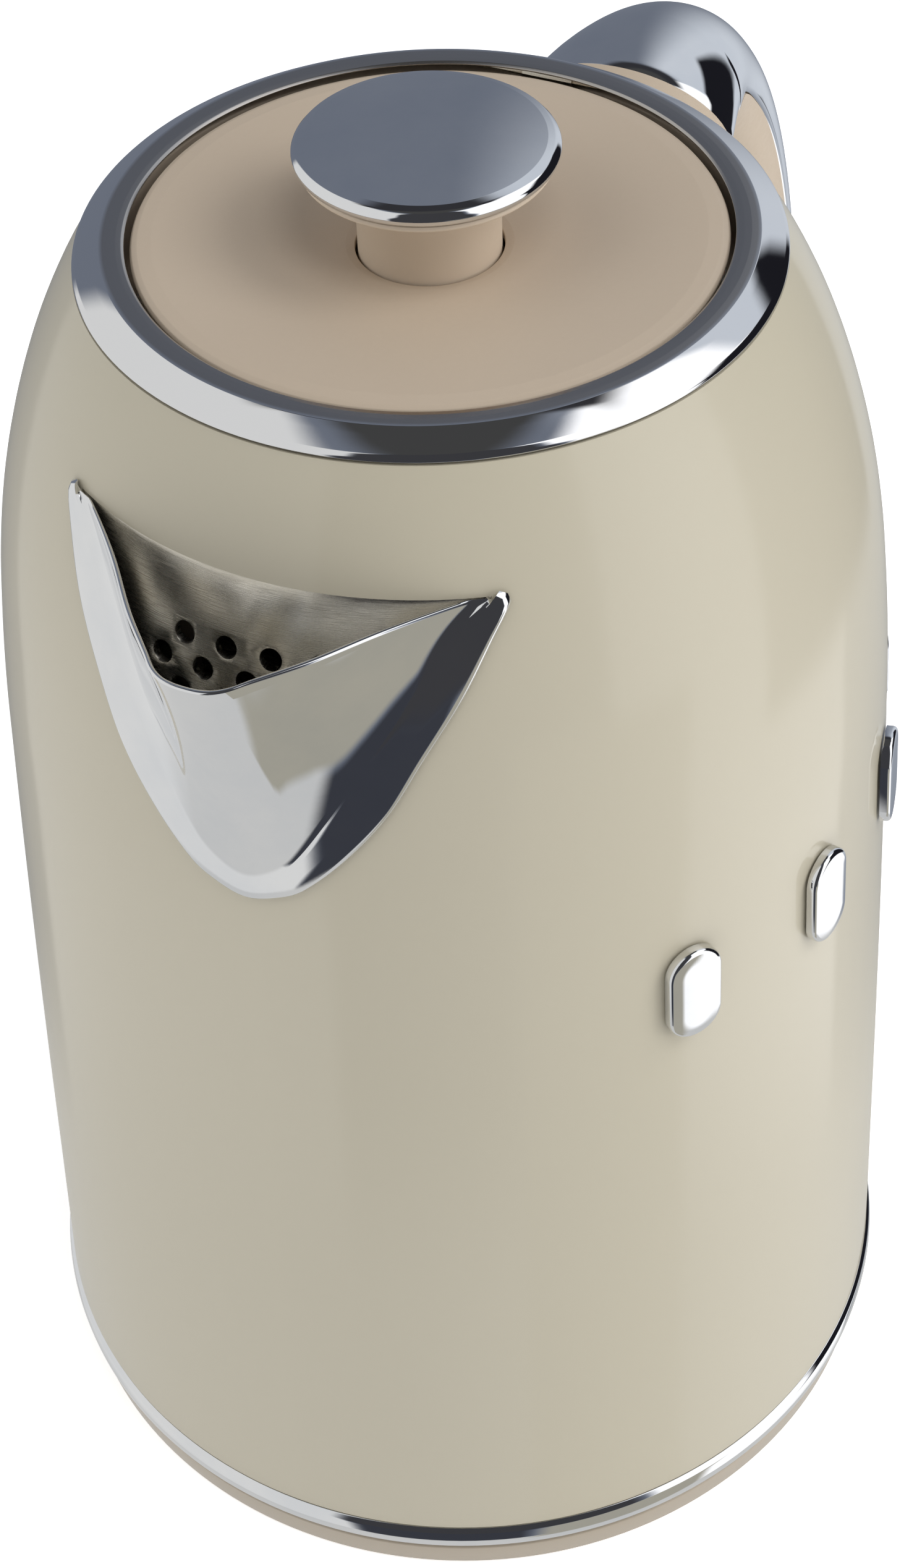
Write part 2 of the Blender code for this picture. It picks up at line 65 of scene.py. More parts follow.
# Pouring spout, half of each line
SPOUT_EDGE = [(0, 162.7), (5.9, 164.5), (9.0, 166.5), (14.9, 173), (20.7, 181.5), (25.1, 191),
              (29.2, 200), (32.0, 208.5), (33.1, 212.2), (32.7, 213.5), (31.6, 214.0)]
SPOUT_CREASE = [(0, 166.5), (4.6, 168.5), (7.8, 171.5), (12.9, 180), (17.5, 188.8),
                (23.6, 200.5), (26.2, 206.4), (28.9, 210.6), (31.0, 213.0)]
SPOUT_LIP = [(0, 80.3), (3.2, 79.9), (5.5, 78.6), (7.5, 76.5), (13.5, 70.2), (20.5, 61.5),
             (28.3, 53.0), (30.5, 51.2)]
SCOOP_HOLLOW = 0.035           # depth of the scoop's hollow, as a share of its length
FLANGE_FOOT = 0.35             # lift of the beak's hidden edges over the body
FLANGE_LIFT = 1.25             # lift of the crease, where the flange turns into the scoop
FLANGE_ROWS = ((0.01, 0.8), (0.05, 1.02), (0.13, 1.14), (0.5, 1.22), (0.9, 1.25), (0.97, 1.26))
SCOOP_START = 1.24             # lift of the scoop's foot over the body, inside the flange
SCOOP_FALL = 0.14              # how much lower that foot is at the tips
SCOOP_SHIFT = 0.25             # how far that foot lies above the crease
SCOOP_NARROW = 0.985           # and its share of the crease's half width
SCOOP_CLEAR = 0.85             # least lift of the scoop over the body
SCOOP_BACK_CLEAR = 0.3         # the same for its inner side
SCOOP_ROWS = 20
SPOUT_STEPS = 60               # sections from the middle to each tip
LIP_THICK = 0.9
LIP_THINNING = 0.45            # share of the lip's thickness that is gone at the tips
LIP_TURN = 0.9                 # radians by which the wall's inward direction turns at the tips
LIP_TOP = ((0.15, 0.16), (0.5, 0.26), (0.85, 0.16))  # its rounding: share across, rise
LIP_HEIGHT = 213.2
LIP_SLOPE = 0.07               # fall of the lip beyond the reach of LIP_LEVEL
LIP_LEVEL = 53.0

# Opening behind the beak, and the bare steel strainer that fills it
WINDOW_TOP = 213.2
WINDOW_MARGIN = 2.0            # how far the opening stays inside the beak's edge
WINDOW_STEPS = 40
PLATE_GAP = 0.06               # between the opening and the strainer plate
PLATE_SINK = 0.12              # the plate lies this much below the paint
STRAINER_ROWS = [(202.8, (-9.2, -3.07, 3.07, 9.2)), (198.6, (-12.3, -6.15, 0, 6.15, 12.3)),
                 (194.4, (-9.2, -3.07, 3.07, 9.2))]
STRAINER_HOLE_RADIUS = 1.65

# Handle
HANDLE_LINE = [(58, 196.5), (70, 202), (83, 204.6), (96, 201.8), (108, 192.5), (118, 179),
               (126.5, 161), (131.8, 143), (133.4, 124), (132, 105), (126, 88), (116, 74),
               (103, 64.5), (88, 61), (70, 60.5)]
HANDLE_THICK = 12.39
HANDLE_WIDE = 13.2
HANDLE_ROOT_WIDE = 20.5
HANDLE_ROOT_END = 62           # distance from the axis up to which the root keeps its width
HANDLE_ROOT_RUN = 46           # further distance over which it narrows
HANDLE_SPACING = 1.0
LOWER_STEPS, UPPER_STEPS = 48, 72  # points round the beige part and the chrome part
SEAM_GAP = 1.0                 # degrees between the chrome's edge and its bed
SEAM_TRIM = 0.6                # degrees by which the chrome's edge stands back
SHELL_START = 76.2             # where the chrome half begins, at the top
SHELL_END = 101.5              # where it ends, at the foot
SEAM_ANGLE = 52                # angle above the flank where the chrome's edge ends, at the foot
SEAM_RUN = 13                  # length over which the edge turns into the flank line
COLLAR = 12                    # length of the chrome that wraps right round, at the top
TONGUE = 9                     # length of the rounded end of the beige inner half
SHELL_RECESS = 1.35            # depth of the bed that the chrome half lies in
SHELL_WALL = 1.1
GRIP_WALL = 3.4
GRIP_GAP = 0.3                 # between the handle's ends and the body
LEVER_X, LEVER_Z = 93.0, 56.5  # pivot of the power lever under the handle's foot

# Knob
KNOB_TOP = 248.0
DOME_RADIUS, DOME_RISE, DOME_STEPS = 16.9, 1.65, 12
SPRING_RADIUS, SPRING_WIRE = 5.4, 0.55
SPRING_LOW, SPRING_HIGH = 219.6, 240.4  # middle of the wire at its two ends
SPRING_TURNS, SPRING_STEPS = 4, 32

# Badge bars
BADGE_ANGLES = (-126, -103, -80, -57)
BADGE_HEIGHT = 138.0
BADGE_REACH = 8                # the body's slope is taken over this much above and below
BADGE_LIFT = 0.3
BADGE_HALF_WIDE = 4.6
BADGE_HALF_RUN = 4.2           # from the middle to the centre of each round end
BADGE_ROUNDING = ((0, 0), (1.0, 0), (1.3, 0.08), (1.5, 0.22), (1.63, 0.45), (1.7, 0.8),
                  (1.7, 2.5))  # depth, and how far the outline has drawn in there


# ---------------------------------------------------------------- small tools

def link(made):
    bpy.context.scene.collection.objects.link(made)
    return made


def to_object(name, mesh_data, material, sharp=35):
    """Named object in metres from geometry in millimetres."""
    bmesh.ops.recalc_face_normals(mesh_data, faces=mesh_data.faces)
    bmesh.ops.transform(mesh_data, matrix=Matrix.Scale(MM, 4), verts=mesh_data.verts)
    mesh = bpy.data.meshes.new(name)
    mesh_data.to_mesh(mesh)
    mesh_data.free()
    mesh.shade_smooth()
    if sharp:
        mesh.set_sharp_from_angle(angle=math.radians(sharp))
    made = link(bpy.data.objects.new(name, mesh))
    if material is not None:
        mesh.materials.append(material)
    return made


def stand_for(made, body, slot, *nodes):
    """Let a piece ride on a body in place of CAD nodes."""
    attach(made, body)
    if nodes:
        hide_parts(*nodes)
    return made


def fillet(outline, radius=0.4, steps=3):
    """Round each corner of a closed outline; corners on the axis stay sharp."""
    rounded = []
    count = len(outline)
    for index, corner in enumerate(outline):
        point = Vector(corner[:2])
        size = corner[2] if len(corner) > 2 else radius
        before = Vector(outline[index - 1][:2]) - point
        after = Vector(outline[(index + 1) % count][:2]) - point
        if point.x == 0:
            rounded.append((point.x, point.y))
            continue
        turn = before.angle(after, math.pi)
        if turn > math.radians(176):
            rounded.append((point.x, point.y))
            continue
        reach = min(size / math.tan(turn / 2), before.length * 0.48, after.length * 0.48)
        start = point + before.normalized() * reach
        end = point + after.normalized() * reach
        for step in range(steps + 1):
            share = step / steps
            place = start.lerp(point, share).lerp(point.lerp(end, share), share)
            rounded.append((place.x, place.y))
    return rounded


def lathe(name, outline, material, steps=ROUND_STEPS):
    """Solid of revolution about the kettle's axis."""
    mesh_data = bmesh.new()
    rows = []
    for radius, height in outline:
        if radius == 0:
            rows.append([mesh_data.verts.new((0, 0, height))] * steps)
            continue
        ring = []
        for step in range(steps):
            angle = math.tau * step / steps
            ring.append(mesh_data.verts.new((radius * math.cos(angle),
                                             radius * math.sin(angle), height)))
        rows.append(ring)
    for index, row in enumerate(rows):
        following = rows[(index + 1) % len(rows)]
        for step in range(steps):
            after = (step + 1) % steps
            corners = []
            for corner in (row[step], row[after], following[after], following[step]):
                if corner not in corners:
                    corners.append(corner)
            if len(corners) > 2:
                mesh_data.faces.new(corners)
    return to_object(name, mesh_data, material)


def loft(mesh_data, rings):
    """Skin a row of equal closed rings of points and close its two ends."""
    rows = [[mesh_data.verts.new(point) for point in ring] for ring in rings]
    count = len(rows[0])
    for here, there in zip(rows, rows[1:]):
        for side in range(count):
            following = (side + 1) % count
            mesh_data.faces.new((here[side], here[following], there[following], there[side]))
    mesh_data.faces.new(rows[0])
    mesh_data.faces.new(rows[-1])


def circle(centre, radius, steps, start=0.0, end=360.0):
    count = steps if end - start >= 360 else steps + 1
    points = []
    for step in range(count):
        angle = math.radians(start + (end - start) * step / steps)
        points.append((centre[0] + radius * math.cos(angle), centre[1] + radius * math.sin(angle)))
    return points


def prism(name, outline, low, high, material=None):
    """Straight solid along Y from a closed outline of (x, z)."""
    mesh_data = bmesh.new()
    loft(mesh_data, [[(x, y, z) for x, z in outline] for y in (low, high)])
    return to_object(name, mesh_data, material, 30)


def cut(target, other, operation="DIFFERENCE"):
    """Apply an exact boolean and remove the cutter."""
    modifier = target.modifiers.new("cut", "BOOLEAN")
    modifier.operation = operation
    modifier.object = other
    modifier.solver = "EXACT"
    apply_modifiers(target)
    bpy.data.objects.remove(other, do_unlink=True)


def apply_modifiers(target):
    """Bake a piece's modifiers into its mesh."""
    depsgraph = bpy.context.evaluated_depsgraph_get()
    old = target.data
    target.data = bpy.data.meshes.new_from_object(target.evaluated_get(depsgraph))
    target.data.name = target.name
    target.modifiers.clear()
    bpy.data.meshes.remove(old)


def bevel(target, width, segments=2, angle=40):
    modifier = target.modifiers.new("bevel", "BEVEL")
    modifier.width = width * MM
    modifier.segments = segments
    modifier.limit_method = "ANGLE"
    modifier.angle_limit = math.radians(angle)
    apply_modifiers(target)
    target.data.shade_smooth()
    target.data.set_sharp_from_angle(angle=math.radians(50))


def spline(points, value):
    """Smooth curve through (key, value) pairs, read at a key."""
    keys = [point[0] for point in points]
    values = [point[1] for point in points]
    if value <= keys[0]:
        return values[0]
    if value >= keys[-1]:
        return values[-1]
    slopes = []
    for index in range(len(points)):
        low = max(index - 1, 0)
        high = min(index + 1, len(points) - 1)
        slopes.append((values[high] - values[low]) / (keys[high] - keys[low]))
    for index in range(len(points) - 1):
        if value <= keys[index + 1]:
            span = keys[index + 1] - keys[index]
            t = (value - keys[index]) / span
            return ((2 * t ** 3 - 3 * t ** 2 + 1) * values[index]
                    + (t ** 3 - 2 * t ** 2 + t) * span * slopes[index]
                    + (3 * t ** 2 - 2 * t ** 3) * values[index + 1]
                    + (t ** 3 - t ** 2) * span * slopes[index + 1])
    return values[-1]


BODY_BY_HEIGHT = [(z, radius) for radius, z in BODY_OUTER]


def body_radius(height):
    return spline(BODY_BY_HEIGHT, height)


def track(points):
    """Smooth line through points, as a function of the share of its length."""
    mirrored = [Vector((-points[1][0], points[1][1]))] + [Vector(point) for point in points]
    lengths = [0]
    for here, there in zip(mirrored, mirrored[1:]):
        lengths.append(lengths[-1] + (there - here).length)
    start = lengths[1]
    total = lengths[-1] - start
    firsts = [((length - start) / total, point.x) for length, point in zip(lengths, mirrored)]
    seconds = [((length - start) / total, point.y) for length, point in zip(lengths, mirrored)]
    return lambda share: (spline(firsts, share), spline(seconds, share))


def smooth_line(points, spacing):
    """Evenly spaced points on a smooth curve through the given points."""
    vectors = [Vector(point) for point in points]
    lengths = [0]
    for here, there in zip(vectors, vectors[1:]):
        lengths.append(lengths[-1] + (there - here).length)
    firsts = [(length, point.x) for length, point in zip(lengths, vectors)]
    seconds = [(length, point.y) for length, point in zip(lengths, vectors)]
    count = round(lengths[-1] / spacing)
    return [Vector((spline(firsts, lengths[-1] * step / count),
                    spline(seconds, lengths[-1] * step / count))) for step in range(count + 1)]


# ---------------------------------------------------------------- materials

class Recipe:
    """Shader nodes of one material, with short calls for the usual steps."""

    def __init__(self, name, colour, roughness, metallic=0.0):
        self.material = bpy.data.materials.new(name)
        self.material.use_nodes = True
        self.tree = self.material.node_tree
        self.shader = self.tree.nodes["Principled BSDF"]
        self.set("Base Color", (*colour, 1))
        self.set("Roughness", roughness)
        self.set("Metallic", metallic)
        self.material.diffuse_color = (*colour, 1)
        self.place = self.add("ShaderNodeTexCoord").outputs["Object"]

    def add(self, kind, **settings):
        node = self.tree.nodes.new(kind)
        for key, value in settings.items():
            setattr(node, key, value)
        return node

    def set(self, socket, value):
        self.shader.inputs[socket].default_value = value

    def join(self, output, node, socket):
        self.tree.links.new(output, node.inputs[socket])

    def stretch(self, scale):
        mapping = self.add("ShaderNodeMapping")
        mapping.inputs["Scale"].default_value = scale
        self.join(self.place, mapping, "Vector")
        return mapping.outputs["Vector"]

    def noise(self, scale, detail=3.0, roughness=0.5, place=None):
        node = self.add("ShaderNodeTexNoise")
        node.inputs["Scale"].default_value = scale
        node.inputs["Detail"].default_value = detail
        node.inputs["Roughness"].default_value = roughness
        self.join(place or self.place, node, "Vector")
        return node.outputs["Fac"]

    def remap(self, value, low, high, start=0.3, end=0.7):
        node = self.add("ShaderNodeMapRange")
        node.inputs["From Min"].default_value = start
        node.inputs["From Max"].default_value = end
        node.inputs["To Min"].default_value = low
        node.inputs["To Max"].default_value = high
        self.join(value, node, "Value")
        return node.outputs["Result"]

    def tint(self, value, stops):
        node = self.add("ShaderNodeValToRGB")
        ramp = node.color_ramp
        while len(ramp.elements) < len(stops):
            ramp.elements.new(0.5)
        for element, (position, colour) in zip(ramp.elements, stops):
            element.position = position
            element.color = (*colour, 1)
        self.join(value, node, "Fac")
        return node.outputs["Color"]

    def bump(self, value, strength, distance, before=None):
        node = self.add("ShaderNodeBump")
        node.inputs["Strength"].default_value = strength
        node.inputs["Distance"].default_value = distance
        self.join(value, node, "Height")
        if before is not None:
            self.join(before, node, "Normal")
        self.join(node.outputs["Normal"], self.shader, "Normal")
        return node.outputs["Normal"]


def shades(colour, spread):
    """Slightly darker and lighter versions of a colour."""
    return [tuple(part * share for part in colour) for share in (1 - spread, 1 + spread)]


def cream_enamel(name="cream_enamel", colour=(0.50, 0.459, 0.356)):
    """Glossy baked paint with a faint orange peel under a clear top."""
    paint = Recipe(name, colour, 0.42)
    dark, light = shades(colour, 0.016)
    paint.join(paint.tint(paint.noise(6.0, 1.0), [(0.2, dark), (0.8, light)]),
               paint.shader, "Base Color")
    paint.join(paint.remap(paint.noise(30.0, 2.0), 0.40, 0.44, 0.1, 0.9), paint.shader,
               "Roughness")
    paint.set("Coat Weight", 0.45)
    paint.set("Coat Roughness", 0.05)
    paint.set("Coat IOR", 1.5)
    paint.bump(paint.noise(300.0, 2.0), 0.02, 0.0002)
    return paint.material


def beige_plastic(name="beige_plastic", colour=(0.51, 0.421, 0.325)):
    """Satin moulded plastic with a fine even grain."""
    plastic = Recipe(name, colour, 0.48)
    dark, light = shades(colour, 0.025)
    plastic.join(plastic.tint(plastic.noise(14.0, 3.0), [(0.3, dark), (0.7, light)]),
                 plastic.shader, "Base Color")
    plastic.join(plastic.remap(plastic.noise(900.0, 3.0), 0.42, 0.56), plastic.shader, "Roughness")
    grain = plastic.bump(plastic.noise(5200.0, 3.0), 0.16, 0.00006)
    plastic.bump(plastic.noise(1400.0, 2.0), 0.05, 0.0001, grain)
    return plastic.material


def polished_chrome():
    """Mirror plating with faint handling haze and hairline polish marks."""
    plating = Recipe("polished_chrome", (0.78, 0.79, 0.81), 0.03, 1.0)
    haze = plating.noise(60.0, 5.0, 0.6)
    plating.join(plating.tint(haze, [(0.35, (0.76, 0.775, 0.80)), (0.65, (0.82, 0.825, 0.835))]),
                 plating.shader, "Base Color")
    plating.join(plating.remap(haze, 0.02, 0.045, 0.35, 0.7), plating.shader, "Roughness")
    plating.bump(plating.noise(700.0, 3.0), 0.02, 0.00005)
    return plating.material


def rim_chrome():
    """Mirror plating whose flat inner band is left satin and tinted darker, the darker tint being
    a painted dark reflection.
    """
    plating = Recipe("rim_chrome", (0.78, 0.79, 0.81), 0.05, 1.0)
    flat = plating.stretch((1, 1, 0))
    reach = plating.add("ShaderNodeVectorMath", operation="LENGTH")
    plating.join(flat, reach, 0)
    # The flat inner band's darker tint is a painted dark reflection; its higher roughness is a
    # satin finish.
    band = plating.remap(reach.outputs["Value"], 1, 0, 0.0462, 0.0468)
    plating.join(plating.tint(band, [(0, (0.78, 0.785, 0.80)), (1, (0.47, 0.45, 0.43))]),
                 plating.shader, "Base Color")
    plating.join(plating.remap(band, 0.04, 0.24, 0, 1), plating.shader, "Roughness")
    plating.bump(plating.noise(700.0, 3.0), 0.02, 0.00005)
    return plating.material


def brushed_steel():
    """Bare stainless steel, brushed round the body."""
    steel = Recipe("brushed_steel", (0.60, 0.575, 0.52), 0.34, 1.0)
    lines = steel.noise(1.0, 4.0, 0.6, steel.stretch((300, 300, 9000)))
    patches = steel.noise(90.0, 4.0, 0.65)
    steel.join(steel.tint(patches, [(0.3, (0.57, 0.53, 0.45)), (0.7, (0.70, 0.665, 0.59))]),
               steel.shader, "Base Color")
    steel.join(steel.remap(lines, 0.18, 0.34), steel.shader, "Roughness")
    steel.set("Anisotropic", 0.7)
    first = steel.bump(lines, 0.12, 0.00005)
    steel.bump(steel.noise(1700.0, 4.0, 0.7), 0.10, 0.00006, first)
    return steel.material


def cast_aluminium():
    metal = Recipe("cast_aluminium", (0.62, 0.63, 0.64), 0.5, 1.0)
    grain = metal.noise(900.0, 5.0, 0.7)
    metal.join(metal.tint(grain, [(0.3, (0.54, 0.55, 0.56)), (0.7, (0.68, 0.69, 0.70))]),
               metal.shader, "Base Color")
    metal.join(metal.remap(grain, 0.4, 0.62), metal.shader, "Roughness")
    metal.bump(grain, 0.3, 0.0002)
    return metal.material


def contact_brass():
    metal = Recipe("contact_brass", (0.72, 0.52, 0.22), 0.3, 1.0)
    tarnish = metal.noise(400.0, 4.0, 0.6)
    metal.join(metal.tint(tarnish, [(0.3, (0.55, 0.38, 0.15)), (0.7, (0.80, 0.61, 0.28))]),
               metal.shader, "Base Color")
    metal.join(metal.remap(tarnish, 0.22, 0.42), metal.shader, "Roughness")
    metal.bump(metal.noise(1800.0, 3.0), 0.08, 0.00005)
    return metal.material


def black_plastic():
    plastic = Recipe("black_plastic", (0.018, 0.018, 0.02), 0.5)
    grain = plastic.noise(3800.0, 3.0)
    plastic.join(plastic.tint(plastic.noise(40.0, 3.0), [(0.3, (0.014, 0.014, 0.016)),
                                                         (0.7, (0.026, 0.026, 0.028))]),
                 plastic.shader, "Base Color")
    plastic.join(plastic.remap(grain, 0.42, 0.6), plastic.shader, "Roughness")
    plastic.bump(grain, 0.35, 0.0001)
    return plastic.material


def grey_rubber():
    rubber = Recipe("grey_rubber", (0.06, 0.06, 0.06), 0.85)
    dust = rubber.noise(300.0, 4.0, 0.6)
    rubber.join(rubber.tint(dust, [(0.35, (0.045, 0.045, 0.046)), (0.7, (0.10, 0.098, 0.094))]),
                rubber.shader, "Base Color")
    rubber.join(rubber.remap(dust, 0.75, 0.95), rubber.shader, "Roughness")
    rubber.bump(rubber.noise(2500.0, 3.0), 0.3, 0.0001)
    return rubber.material


def clear_silicone():
    seal = Recipe("clear_silicone", (0.70, 0.70, 0.67), 0.45)
    cloud = seal.noise(200.0, 3.0)
    seal.join(seal.tint(cloud, [(0.3, (0.64, 0.64, 0.61)), (0.7, (0.75, 0.75, 0.72))]),
              seal.shader, "Base Color")
    seal.join(seal.remap(cloud, 0.38, 0.52), seal.shader, "Roughness")
    seal.set("Subsurface Weight", 0.3)
    seal.set("Subsurface Scale", 0.002)
    seal.bump(seal.noise(1500.0, 2.0), 0.06, 0.0001)
    return seal.material


def gauge_window():
    window = Recipe("gauge_window", (0.42, 0.46, 0.48), 0.08)
    cloud = window.noise(120.0, 3.0)
    window.join(window.tint(cloud, [(0.3, (0.38, 0.42, 0.44)), (0.7, (0.46, 0.50, 0.52))]),
                window.shader, "Base Color")
    window.join(window.remap(cloud, 0.05, 0.12), window.shader, "Roughness")
    window.set("Transmission Weight", 0.55)
    window.set("IOR", 1.5)
    window.bump(window.noise(250.0, 2.0), 0.03, 0.0002)
    return window.material


CREAM = cream_enamel()
BEIGE = beige_plastic()
# Darker copy of the cream enamel for the power base: painted shade at the foot, under the chrome
# ring.
BASE_CREAM_PAINTED_SHADE = cream_enamel("base_enamel_painted_shade", (0.415, 0.352, 0.272))
# Lighter copy of the beige plastic for the knob's stem: painted light, standing in for the light
# the stem catches under the knob.
STEM_BEIGE_PAINTED_LIGHT = beige_plastic("stem_plastic_painted_light", (0.66, 0.55, 0.43))
CHROME = polished_chrome()
RIM = rim_chrome()
STEEL = brushed_steel()
ALUMINIUM = cast_aluminium()
BRASS = contact_brass()
BLACK = black_plastic()
RUBBER = grey_rubber()
SILICONE = clear_silicone()
WINDOW = gauge_window()
BY_SLOT = {"cream_enamel": CREAM, "beige_plastic": BEIGE, "polished_chrome": CHROME,
           "brushed_steel": STEEL, "cast_aluminium": ALUMINIUM, "contact_brass": BRASS,
           "black_plastic": BLACK, "grey_rubber": RUBBER, "clear_silicone": SILICONE,
           "gauge_window": WINDOW}


# ---------------------------------------------------------------- power base and rings

def build_base():
    # The base's shell takes the darker copy of the cream enamel, which is painted shade.
    shell = lathe("base_shell_skin", fillet(
        [(75.9, 0.8, 0.3), (76.6, 6.3, 0.6), (76.0, 7.0, 0.4), (67.4, 7.0, 1.0), (65.6, 10.6, 1.2),
         (19.4, 10.6, 0.6), (19.4, 6.0), (8.6, 6.0), (8.6, 4.4), (21.2, 4.4), (21.2, 8.8),
         (64.4, 8.8), (66.0, 5.2), (74.4, 5.2), (74.1, 0.8, 0.3)]), BASE_CREAM_PAINTED_SHADE)
    cut(shell, prism("slot", [(70, -2), (80, -2), (80, 6.3), (70, 6.3)], -6.3, 6.3))
    stand_for(shell, "base", "cream_enamel", "base_shell")
    cover = lathe("base_cover_skin", fillet([(73.6, 0.9, 0.3), (73.6, 2.3), (0, 2.3), (0, 0.9)]),
                  BLACK)
    cut(cover, prism("slot", [(65, -2), (80, -2), (80, 6), (65, 6)], -6.3, 6.3))
    stand_for(cover, "base", "black_plastic", "base_bottom_cover")
    stand_for(lathe("centre_foot_pad", fillet([(14, 0, 0.2), (14, 0.6), (0, 0.6), (0, 0)]), RUBBER,
                    SMALL_STEPS), "base", "grey_rubber", "base_foot_centre")
    stand_for(lathe("connector_post_skin", fillet(
        [(7.6, 2.6), (7.6, 15.4, 0.5), (6.6, 16.4, 0.5), (2.3, 16.4), (2.3, 8.0), (0, 8.0),
         (0, 2.6)], 0.2), BLACK, SMALL_STEPS), "base", "black_plastic", "connector_post")
    stand_for(lathe("outer_contact_ring", fillet(
        [(14.2, 6.3), (14.2, 8.6), (12.4, 8.6), (12.4, 6.3)], 0.3), BRASS, SMALL_STEPS),
        "base", "contact_brass", "connector_outer_contact")
    stand_for(lathe("centre_contact_pin", fillet(
        [(2.0, 8.3), (2.0, 17.2, 0.4), (1.2, 18.2, 0.5), (0, 18.2), (0, 8.3)], 0.2), BRASS, 48),
        "swivel", "contact_brass", "connector_centre_contact")


def build_rings():
    stand_for(lathe("bottom_ring_skin", fillet(
        [(76.6, 7.5, 0.4), (77.4, 8.4, 1.0), (77.6, 10.2, 2.0), (77.3, 12.2, 1.0),
         (76.7, 13.0, 0.3), (74.9, 13.0), (74.9, 7.5)], 0.2, 4), CHROME), "jug",
        "polished_chrome", "bottom_ring")
    stand_for(lathe("top_ring_skin", fillet(
        [(50.9, 229.5, 0.2), (50.8, 229.9, 0.5), (50.3, 230.4, 0.9), (48.0, 231.8, 1),
         (46.8, 232.45, 0.3), (45.4, 232.5, 1), (44.4, 232.45, 1), (43.6, 232.32, 0.4),
         (43.2, 232.05, 0.15), (43.25, 231.8, 0.1), (44.5, 231.95), (45.6, 231.95), (47.4, 231.2),
         (49.2, 230.1), (49.4, 229.5, 0.2)], 0.3, 5), RIM), "jug", "polished_chrome",
        "top_ring")
    stand_for(lathe("neck_collar_skin", fillet(
        [(45.2, 229.7, 0.4), (48.7, 229.7), (48.9, 221.0), (47.5, 219.4), (39.0, 219.4),
         (39.0, 221.6, 0.4), (45.2, 221.6, 0.6)]), BEIGE), "jug", "beige_plastic", "neck_collar")


# ---------------------------------------------------------------- body

def skin_outline(outside, inside, low, high, spacing=2.0):
    """Closed outline of a skin that follows the body."""
    count = max(2, round((high - low) / spacing))
    heights = [low + (high - low) * step / count for step in range(count + 1)]
    outer = [(body_radius(z) + outside, z) for z in heights]
    inner = [(body_radius(z) - inside, z) for z in reversed(heights)]
    return outer + inner


def window_prism(name, inset=0.0):
    """Prism through the front wall with the outline of the opening, drawn in by the inset."""
    margin = WINDOW_MARGIN + inset
    top = WINDOW_TOP - inset
    edge = track(SPOUT_EDGE)
    half = [(0, SPOUT_EDGE[0][1] + margin)]
    for step in range(WINDOW_STEPS + 1):
        y, z = edge(step / WINDOW_STEPS)
        if y > margin and z < top - margin:
            half.append((y - margin, z + margin))
    half.append((half[-1][0] + 0.2, top))
    outline = [(-y, z) for y, z in reversed(half)] + half[1:]
    made = prism(name, outline, 30, 95)
    made.rotation_euler.z = math.radians(90)
    bpy.context.view_layer.update()
    return made


def build_body():
    shell = lathe("body_skin", skin_outline(0, BODY_WALL, 13.4, 229.1), CREAM)
    cut(shell, window_prism("window"))
    cut(shell, prism("gauge", [(55, 84), (90, 84), (90, 172), (55, 172)], -6, 6))
    vent = prism("vent", circle((0, 200), 4, 24), 55, 70)
    vent.rotation_euler.z = math.radians(-90)
    bpy.context.view_layer.update()
    cut(shell, vent)
    shell.data.shade_smooth()
    shell.data.set_sharp_from_angle(angle=math.radians(40))
    stand_for(shell, "jug", "cream_enamel", "body_shell")

    plate = lathe("strainer_skin", skin_outline(-PLATE_SINK, BODY_WALL, 160, 220, 1.5), STEEL)
    cut(plate, window_prism("trim", PLATE_GAP), "INTERSECT")
    holes = bmesh.new()
    for height, angles in STRAINER_ROWS:
        for angle in angles:
            turn = Matrix.Rotation(math.radians(180 + angle), 4, "Z")
            loft(holes, [[turn @ Vector((reach, y, height + z))
                          for y, z in circle((0, 0), STRAINER_HOLE_RADIUS, 40)]
                         for reach in (50, 80)])
    cut(plate, to_object("holes", holes, None))
    bevel(plate, 0.18, 2, 45)
    stand_for(plate, "jug", "brushed_steel", "strainer_plate")

    gauge = lathe("gauge_skin", skin_outline(0.6, BODY_WALL + 0.6, 84.3, 171.7), WINDOW, 384)
    cut(gauge, prism("side", [(50, 80), (90, 80), (90, 176), (50, 176)], -5.7, 5.7), "INTERSECT")
    bevel(gauge, 0.5, 3, 50)
    stand_for(gauge, "jug", "gauge_window", "water_gauge")


# ---------------------------------------------------------------- spout

def spout_sections():
    """Closed sections of the beak from its middle outwards."""
    edge = track(SPOUT_EDGE)
    crease = track(SPOUT_CREASE)
    lip = track(SPOUT_LIP)
    sections = []
    for step in range(SPOUT_STEPS + 1):
        share = step / SPOUT_STEPS
        edge_y, edge_z = edge(share)
        crease_y, crease_z = crease(share)
        lip_y, reach = lip(share)
        lip_point = Vector((-reach, lip_y, LIP_HEIGHT - LIP_SLOPE * max(reach - LIP_LEVEL, 0)))
        sections.append((share, (edge_y, edge_z), (crease_y, crease_z), lip_point))
    return sections


def on_body(y, z, lift):
    radius = body_radius(z) + lift
    return Vector((-math.sqrt(max(radius ** 2 - y ** 2, 1)), y, z))


def outside_body(point, lift):
    """The point itself, or the nearest one that clears the body by the lift."""
    grow = max((body_radius(min(point.z, 229)) + lift) / math.hypot(point.x, point.y), 1)
    return Vector((point.x * grow, point.y * grow, point.z))


